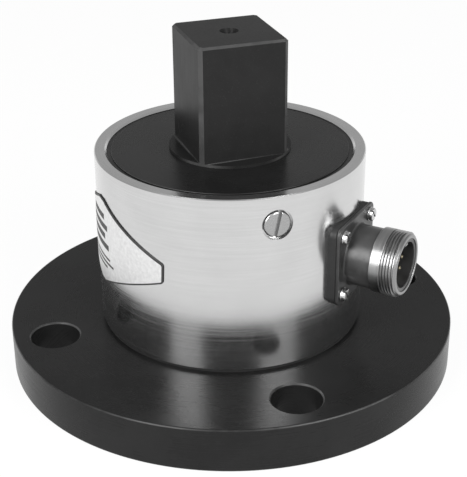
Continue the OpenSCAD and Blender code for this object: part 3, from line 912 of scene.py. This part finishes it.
@dataclass(frozen=True)
class SlottedScrew:
    """A slotted screw, drawn with its head's seat at the origin and its head along +Z."""

    head_r: float
    head_h: float
    dome: float
    slot: float
    depth: float
    shank_r: float
    length: float
    dome_steps: int = 6
    lip_steps: int = 2
    lip_share: float = 0.08
    lip_angle_deg: float = 50.0

    def blank(self) -> Blank:
        """Turns the screw and cuts its slot, which runs along X.

        Returns:
            The closed screw.
        """
        made = Blank.turned([
            Corner(0.0, -self.length),
            Corner(self.shank_r, -self.length),
            Corner(self.shank_r, 0.0),
            Corner(self.head_r, 0.0),
            Corner(self.head_r, self.head_h, self.dome, self.dome_steps),
            Corner(0.0, self.head_h),
        ], SMALL_STEPS)
        bm = made.bm
        floor = self.head_h - self.depth
        sides = (self.slot / 2.0, -self.slot / 2.0)
        made.sliced(Y_AXIS, sides)
        made.sliced(UP, [floor])
        bmesh.ops.delete(bm, geom=[f for f in bm.faces if f.calc_center_median().z > floor
                                   and abs(f.calc_center_median().y) < self.slot / 2.0], context="FACES")
        for side in sides:
            rim = [e for e in bm.edges if e.is_boundary and lies_at(e, side, 1)]
            feet = [v for v in {v for e in rim for v in e.verts} if abs(v.co.z - floor) < EPS]
            bmesh.ops.contextual_create(bm, geom=[*rim, bm.edges.new(feet)])
        bmesh.ops.contextual_create(bm, geom=[e for e in bm.edges if e.is_boundary])
        made.mended()
        angle = math.radians(self.lip_angle_deg)
        lips = [e for e in bm.edges if len(e.link_faces) == 2 and e.calc_face_angle() > angle
                and all(v.co.z > floor + EPS for v in e.verts)]
        made.rounded(lips, self.slot * self.lip_share, self.lip_steps)
        return made.mended()


@dataclass
class Cover:
    """What closes the cover to the collar. Its brushed tube and its seals are CAD nodes."""

    screw: SlottedScrew = SlottedScrew(
        head_r=5.7 * MM, head_h=2.6 * MM, dome=1.1 * MM, slot=1.5 * MM, depth=1.5 * MM,
        shank_r=3.0 * MM, length=12.0 * MM,
    )
    seat_r: float = reach("cover_sleeve").x - 2.6 * MM
    height: float = middle("cover_screws").z
    count: int = 3
    start_deg: float = -90.0
    lean_deg: float = -12.0

    def build(self) -> None:
        """Sets the slotted screws in their counterbores."""
        screws = Blank()
        for k in range(self.count):
            place = Place(self.start_deg + 360.0 * k / self.count, self.seat_r, self.height, True)
            screws.add(self.screw.blank(), place.matrix() @ turn(self.lean_deg))
        screws.piece("cover_screw_heads", "screw_steel", ["cover_screws"])


@dataclass
class Receptacle:
    """The threaded receptacle on its saddle, drawn with its axis along Z from the saddle's face.

    Attributes:
        thread_bed: Depth that the sleeve lies under the thread's root.
        lead_turns: Turns that the thread is wound before the length that is kept.
        thread_shares: Where the corners of one ridge lie along its pitch.
        lip: Depth of the key's inner end in the mouth.
        key: Size of the key inwards, across and along the axis.
    """

    cover_r: float = reach("cover_sleeve").x
    face_r: float = 58.1 * MM
    saddle_w: float = 35.0 * MM
    saddle_corner: float = 4.0 * MM
    saddle_edge: float = 0.45 * MM
    saddle_steps: int = 14
    plate_w: float = 35.0 * MM
    plate_t: float = 1.5 * MM
    plate_corner: float = 3.0 * MM
    plate_edge: float = 0.5 * MM
    screw_pitch: float = 26.0 * MM
    barrel_r: float = 12.85 * MM
    barrel_end: float = 12.5 * MM
    root_fillet: float = 0.8 * MM
    toe_out: float = 0.05 * MM
    toe_sink: float = 0.02 * MM
    thread_r: float = 13.75 * MM
    thread_root_r: float = 13.05 * MM
    thread_bed: float = 0.05 * MM
    thread_pitch: float = 1.27 * MM
    lead_turns: float = 1.5
    spare_turns: int = 2
    thread_shares: tuple[float, ...] = (0.0, 0.12, 0.43, 0.57, 0.88, 1.0)
    thread_start: float = 17.2 * MM
    nose_start: float = 23.0 * MM
    nose_r: float = 12.5 * MM
    mouth: float = 24.1 * MM
    mouth_r: float = 9.65 * MM
    lip: float = 4.0 * MM
    mouth_edge: float = 0.4 * MM
    soft: float = 0.3 * MM
    band_edge: float = 0.35 * MM
    band_end_edge: float = 0.2 * MM
    recess: float = 0.5 * MM
    spigot_r: float = 11.25 * MM
    tail_r: float = 11.75 * MM
    tail: float = 9.0 * MM
    insert_r: float = 10.25 * MM
    insert_step: float = -1.0 * MM
    key: tuple[float, float, float] = (0.9 * MM, 2.4 * MM, 3.4 * MM)
    key_edge: float = 0.15 * MM
    washer_t: float = 0.6 * MM
    washer_r: float = 3.0 * MM
    washer_gap: float = 0.1 * MM
    washer_edge: float = 0.15 * MM
    washer_steps: int = 3
    screw: SlottedScrew = SlottedScrew(
        head_r=2.8 * MM, head_h=1.6 * MM, dome=0.8 * MM, slot=0.9 * MM, depth=0.8 * MM,
        shank_r=1.5 * MM, length=7.9 * MM,
    )
    lean_deg: float = 35.0

    def at(self) -> Matrix:
        """Returns the transform from the receptacle's axes to the object's."""
        return Place(OUTLET_TURN, self.face_r, OUTLET.z, True).matrix()

    def fitted(self, made: Blank, name: str, slot: str, node: str) -> None:
        """Lays a blank in the receptacle's place and finishes it in a node's stead."""
        Blank().add(made, self.at()).piece(name, slot, [node])

    def build(self) -> None:
        """Makes the receptacle from the cover outwards."""
        self.saddle()
        self.body()
        self.sleeve()
        self.fasteners()

    def saddle(self) -> None:
        """Cuts the block whose back follows the round cover."""
        depth = self.face_r - math.sqrt(self.cover_r ** 2 - (self.saddle_w / 2.0) ** 2)
        block = Blank.slab(self.saddle_w, self.saddle_corner, -depth, 0.0, 0.0)
        count = self.saddle_steps
        block.sliced(Y_AXIS, [self.saddle_w / count * (k - count / 2.0) for k in range(1, count)])
        for vert in block.bm.verts:
            if vert.co.z < -EPS:
                vert.co.z = math.sqrt(self.cover_r ** 2 - vert.co.y ** 2) - self.face_r
        block.mended()
        corner = math.radians(SHARP_DEG)
        rim = [e for e in block.bm.edges if lies_at(e, 0.0) and e.calc_face_angle(0.0) > corner]
        block.rounded(rim, self.saddle_edge)
        self.fitted(block, "saddle_block", "saddle_rubber", "saddle")

    def body(self) -> None:
        """Makes the square flange, the barrel and the tube that holds the insert."""
        body = Blank.slab(self.plate_w, self.plate_corner, 0.0, self.plate_t, self.plate_edge)
        toe = self.barrel_r + self.root_fillet
        body.add(Blank.turned([
            Corner(self.mouth_r, self.mouth - self.recess, self.mouth_edge),
            Corner(self.spigot_r, self.mouth - self.recess),
            Corner(self.spigot_r, self.barrel_end),
            Corner(self.barrel_r, self.barrel_end, self.soft),
            Corner(self.barrel_r, self.plate_t, self.root_fillet),
            Corner(toe + self.toe_out, self.plate_t - self.toe_sink),
            Corner(toe, self.plate_edge),
            Corner(self.tail_r, self.plate_edge),
            Corner(self.tail_r, -self.tail, self.soft),
            Corner(self.insert_r, -self.tail),
            Corner(self.insert_r, self.insert_step),
            Corner(self.mouth_r, self.insert_step),
        ]))
        self.fitted(body, "receptacle_shell", "black_anodised", "receptacle_body")

    def sleeve(self) -> None:
        """Makes the plated sleeve with its plain band, its thread and the key in its mouth."""
        fade = self.nose_start + (self.mouth - self.nose_start) * (
            (self.thread_r - self.thread_root_r) / (self.thread_r - self.nose_r))
        root = self.thread_root_r - self.thread_bed
        sleeve = Blank.turned([
            Corner(self.spigot_r, self.barrel_end),
            Corner(self.thread_r, self.barrel_end, self.band_edge),
            Corner(self.thread_r, self.thread_start, self.band_end_edge),
            Corner(root, self.thread_start),
            Corner(root, fade),
            Corner(self.nose_r, self.mouth, self.soft),
            Corner(self.spigot_r, self.mouth, self.soft),
        ])
        sleeve.add(self.thread(fade))
        key = Blank()
        seat = shift(self.key[0] / 2.0 - self.mouth_r, 0.0, self.mouth - self.lip + self.key[2] / 2.0)
        bmesh.ops.create_cube(key.bm, size=1.0, matrix=seat @ Matrix.Diagonal((*self.key, 1.0)))
        key.rounded(key.bm.edges[:], self.key_edge)
        sleeve.add(key)
        self.fitted(sleeve, "threaded_sleeve", "nickel_plate", "receptacle_thread")

    def thread(self, fade: float) -> Blank:
        """Winds the thread and trims it to its length and to the chamfer in front of it.

        Args:
            fade: Where the chamfer reaches the thread's root.

        Returns:
            The thread's ridges, a sheet that lies on the sleeve.
        """
        made = Blank()
        bm = made.bm
        turns = math.ceil((fade - self.thread_start) / self.thread_pitch) + self.spare_turns
        first = self.thread_start - self.lead_turns * self.thread_pitch
        root, crest = self.thread_root_r, self.thread_r
        profile = zip((root, root, crest, crest, root, root), self.thread_shares)
        points = [bm.verts.new((r, 0.0, first + share * self.thread_pitch)) for r, share in profile]
        edges = [bm.edges.new(pair) for pair in zip(points, points[1:])]
        steps = TURN_STEPS // 2
        bmesh.ops.spin(bm, geom=points + edges, axis=UP, angle=math.tau * turns, steps=steps * turns,
                       dvec=(0.0, 0.0, self.thread_pitch / steps))
        bmesh.ops.remove_doubles(bm, verts=bm.verts[:], dist=EPS)
        for height, below in ((self.thread_start, True), (fade, False)):
            bmesh.ops.bisect_plane(bm, geom=bm.verts[:] + bm.edges[:] + bm.faces[:], dist=EPS,
                                   plane_co=UP * height, plane_no=UP, clear_inner=below,
                                   clear_outer=not below)
        slope = (self.thread_r - self.nose_r) / (self.mouth - self.nose_start)
        for vert in bm.verts:
            limit = self.thread_r - slope * (vert.co.z - self.nose_start)
            vert.co.xy = vert.co.xy * min(1.0, limit / vert.co.xy.length)
        return made

    def fasteners(self) -> None:
        """Sets the four screws and their washers."""
        bore = self.screw.shank_r + self.washer_gap
        ring = Blank.turned([
            Corner(bore, 0.0),
            Corner(self.washer_r, 0.0, self.washer_edge, self.washer_steps),
            Corner(self.washer_r, self.washer_t, self.washer_edge, self.washer_steps),
            Corner(bore, self.washer_t),
        ], SMALL_STEPS)
        screws, washers = Blank(), Blank()
        half = self.screw_pitch / 2.0
        for x, y in product((-half, half), repeat=2):
            seat = self.at() @ shift(x, y, self.plate_t)
            washers.add(ring, seat)
            screws.add(self.screw.blank(), seat @ shift(z=self.washer_t) @ turn(self.lean_deg))
        screws.piece("plate_screw_heads", "zinc_plate", ["receptacle_screws"])
        washers.piece("plate_screw_washers", "zinc_plate", ["screw_washers"])


@dataclass
class Nameplate:
    """The plate wrapped round the cover, drawn flat with X along the cover, Y up and Z outwards.

    Attributes:
        spacing: Distance of the cuts that let it bend.
        bars: Height of the middle, left end, length and height of each printed bar.
    """

    cover_r: float = reach("cover_sleeve").x
    height: float = middle("nameplate").z - 0.4 * MM
    turn_deg: float = 183.4
    lean_deg: float = -2.74
    length: float = 80.4 * MM
    width: float = 39.0 * MM
    top_length: float = 5.0 * MM
    end_width: float = 8.6 * MM
    corner: float = 1.5 * MM
    corner_steps: int = 6
    film: float = 0.1 * MM
    film_inset: float = 0.5 * MM
    thickness: float = 0.5 * MM
    edge: float = 0.12 * MM
    ink: float = 0.03 * MM
    border: float = 0.75 * MM
    spacing: float = 1.8 * MM
    bars: tuple[tuple[float, float, float, float], ...] = (
        (11.6 * MM, -11.0 * MM, 14.0 * MM, 2.6 * MM),
        (7.2 * MM, -14.0 * MM, 20.0 * MM, 2.6 * MM),
        (2.8 * MM, -14.0 * MM, 17.5 * MM, 2.6 * MM),
        (-1.6 * MM, -14.0 * MM, 21.0 * MM, 2.6 * MM),
        (-7.0 * MM, -12.0 * MM, 20.0 * MM, 1.0 * MM),
        (-9.2 * MM, -12.0 * MM, 23.0 * MM, 1.0 * MM),
        (-11.4 * MM, -12.0 * MM, 17.0 * MM, 1.0 * MM),
    )

    def build(self) -> None:
        """Makes the plate and its plain printed bars."""
        panel = self.outline(self.border)
        panel.raised(panel.bm.faces[:], self.thickness)
        self.wrapped(panel, self.film).piece("plate", "plate_aluminium", ["nameplate"])

        # Dark rim round the panel: partly the plate's black edge and partly painted shade along its rim and
        # under its lower edge.
        dark_rim_and_shade = self.outline(0.0)
        dark_rim_and_shade.raised(dark_rim_and_shade.bm.faces[:], self.thickness - self.ink)
        dark_rim_and_shade.mended()
        dark_rim_and_shade.rounded([e for e in dark_rim_and_shade.bm.edges if all(v.co.z > EPS for v in e.verts)], self.edge)
        self.wrapped(dark_rim_and_shade, self.film).piece("plate_dark_rim_and_shade", "adhesive_film")

        film = self.outline(self.film_inset)
        film.raised(film.bm.faces[:], self.film)
        self.wrapped(film, 0.0).piece("plate_film", "adhesive_film", ["nameplate_film"])
        self.printing()

    def outline(self, inset: float) -> Blank:
        """Draws the plate's outline as one flat face.

        Args:
            inset: How far inside the plate's edge it runs.

        Returns:
            The flat blank.
        """
        made = Blank()
        bm = made.bm
        slope = math.atan2(self.width - self.end_width, self.length - self.top_length)
        half_top = self.top_length / 2.0 - inset * math.tan(slope / 2.0)
        half_end = self.end_width / 2.0 - inset * math.tan(math.pi / 4.0 - slope / 2.0)
        half_length, half_width = self.length / 2.0 - inset, self.width / 2.0 - inset
        quarter = ((half_top, half_width), (half_length, half_end))
        ring = [bm.verts.new((x, y, 0.0)) for x, y in quarter]
        ring += [bm.verts.new((x, -y, 0.0)) for x, y in reversed(quarter)]
        ring += [bm.verts.new((-v.co.x, v.co.y, 0.0)) for v in reversed(ring)]
        bm.faces.new(ring)
        shoulders = [v for v in ring if abs(v.co.x) < half_length - EPS]
        ends = [v for v in ring if abs(v.co.x) > half_length - EPS]
        radius = self.corner - inset
        for verts, angle in ((shoulders, math.pi - slope), (ends, math.pi / 2.0 + slope)):
            made.clipped(verts, radius / math.tan(angle / 2.0), self.corner_steps)
        return made

    def wrapped(self, flat: Blank, lift: float) -> Blank:
        """Turns a flat blank askew and wraps it round the cover.

        Args:
            flat: The blank, drawn flat.
            lift: Distance of its lower face from the cover.

        Returns:
            The same blank, wrapped.
        """
        bmesh.ops.rotate(flat.bm, verts=flat.bm.verts[:], matrix=turn(self.lean_deg))
        count = math.floor(self.length / self.spacing)
        flat.sliced(X_AXIS, [self.spacing * (k - count / 2.0) for k in range(count + 1)])
        for vert in flat.bm.verts:
            angle = math.radians(self.turn_deg) + vert.co.x / self.cover_r
            out = self.cover_r + lift + vert.co.z
            vert.co = Vector((out * math.cos(angle), out * math.sin(angle), self.height + vert.co.y))
        return flat

    def printing(self) -> None:
        """Prints rows of plain bars in place of words."""
        ink = Blank()
        for y, x, length, height in self.bars:
            bar = Blank()
            size = Matrix.Diagonal((length, height, self.ink, 1.0))
            seat = shift(x + length / 2.0, y, self.ink / 2.0)
            bmesh.ops.create_cube(bar.bm, size=1.0, matrix=seat @ size)
            ink.add(bar)
        self.wrapped(ink, self.film + self.thickness).piece("plate_print", "adhesive_film")


@dataclass
class PhotoCamera:
    """The camera at the photograph's viewing angle."""

    azimuth_deg: float = PHOTO_AZIMUTH_DEG
    elevation_deg: float = 26.371
    distance: float = 0.54402
    target_height: float = 0.052688
    target_aside: float = 0.0012303
    roll_deg: float = -0.3927683
    lens: float = 95.235
    sensor: float = 36.0
    near: float = 0.02
    far: float = 30.0

    def build(self) -> None:
        """Makes the camera and sets it as the scene's."""
        back = outward(self.azimuth_deg, self.elevation_deg)
        right = UP.cross(back).normalized()
        axes = Matrix((right, back.cross(right), back)).transposed().to_4x4()
        spot = right * self.target_aside + UP * self.target_height + back * self.distance
        data = bpy.data.cameras.new("photo_camera")
        data.sensor_fit = "HORIZONTAL"
        data.sensor_width = self.sensor
        data.lens = self.lens
        data.clip_start = self.near
        data.clip_end = self.far
        camera = linked("photo_camera", data)
        camera.matrix_world = Matrix.Translation(spot) @ axes @ turn(self.roll_deg)
        bpy.context.scene.camera = camera


@dataclass(frozen=True)
class Softbox:
    """A square studio lamp with a cloth front, aimed at the object."""

    name: str
    azimuth_deg: float
    elevation_deg: float
    distance: float
    width: float
    height: float
    radiance: float

    def build(self, aim: Vector) -> None:
        """Makes the lamp.

        Args:
            aim: The point that the lamp faces.
        """
        away = outward(self.azimuth_deg, self.elevation_deg)
        data = bpy.data.lights.new(self.name, "AREA")
        data.shape = "RECTANGLE"
        data.size = self.width
        data.size_y = self.height
        data.energy = self.radiance * self.width * self.height * math.tau
        lamp = linked(self.name, data)
        lamp.rotation_mode = "QUATERNION"
        lamp.rotation_quaternion = away.to_track_quat("Z", "Y")
        lamp.location = aim + away * self.distance
        lamp.visible_camera = False


@dataclass
class Studio:
    """White floor, pale surroundings and two softboxes beside the camera."""

    floor_radius: float = 6.0
    floor_steps: int = 96
    aim_height: float = 0.06
    lamps: tuple[Softbox, ...] = (
        Softbox("softbox_left", PHOTO_AZIMUTH_DEG - 38.3, 30.0, 1.1, 0.47, 0.72, 5.0),
        Softbox("softbox_right", PHOTO_AZIMUTH_DEG + 40.4, 30.0, 1.1, 0.54, 0.72, 4.2),
    )
    sky: float = 0.46
    horizon: float = 0.9
    horizon_band: tuple[float, float] = (0.08, 0.25)
    white_share: float = 0.93
    paint: float = 0.9

    def build(self) -> None:
        """Makes the floor, the surroundings and the lamps."""
        bpy.context.scene.view_settings.view_transform = "Standard"
        self.floor()
        self.surroundings()
        for lamp in self.lamps:
            lamp.build(UP * self.aim_height)

    def floor(self) -> None:
        """Makes a round white floor under the object."""
        bm = bmesh.new()
        bmesh.ops.create_circle(bm, cap_ends=True, segments=self.floor_steps, radius=self.floor_radius)
        mesh = bpy.data.meshes.new("studio_floor")
        bm.to_mesh(mesh)
        bm.free()
        floor = linked("studio_floor", mesh)
        material = bpy.data.materials.new("studio_floor")
        nodes = Nodes(material)
        seen = nodes.sum("MULTIPLY", nodes.rays("Camera", "Transmission", "Glossy"), self.white_share)
        paint = nodes.add("ShaderNodeBsdfDiffuse", {"Color": (*grey(self.paint), 1.0)})
        glow = nodes.add("ShaderNodeEmission", {"Color": WHITE, "Strength": 1.0})
        nodes.mixed(seen, paint, glow, "ShaderNodeOutputMaterial")
        mesh.materials.append(material)

    def surroundings(self) -> None:
        """Sets the world: white to the camera, white at the horizon and dimmer above for the rest."""
        world = bpy.data.worlds.new("studio")
        bpy.context.scene.world = world
        nodes = Nodes(world)
        direction = nodes.add("ShaderNodeTexCoord").outputs["Generated"]
        height = nodes.add("ShaderNodeSeparateXYZ", {0: direction}).outputs[2]
        level = nodes.spread(height, *self.horizon_band, self.horizon, self.sky)
        around = nodes.add("ShaderNodeBackground", {"Color": WHITE, "Strength": level})
        back = nodes.add("ShaderNodeBackground", {"Color": WHITE, "Strength": 1.0})
        nodes.mixed(nodes.rays("Camera", "Transmission"), around, back, "ShaderNodeOutputWorld")


def dress_nodes() -> None:
    """Gives each CAD node its finish, also those that a finer piece stands for."""
    for name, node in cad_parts.items():
        node.data.materials.clear()
        node.data.materials.append(MATERIALS[NODE_FINISH[name]])
        log.info("%s: %s", name, NODE_FINISH[name])


def main() -> None:
    """Builds the camera, the studio and every sub-assembly in order."""
    logging.basicConfig(level=logging.INFO, format="%(message)s")
    MATERIALS.update({finish.name: finish.material() for finish in FINISHES})
    PhotoCamera().build()
    Studio().build()
    dress_nodes()
    for part in (SensingElement(), Cover(), Receptacle(), Nameplate()):
        part.build()


if __name__ == "__main__":
    main()
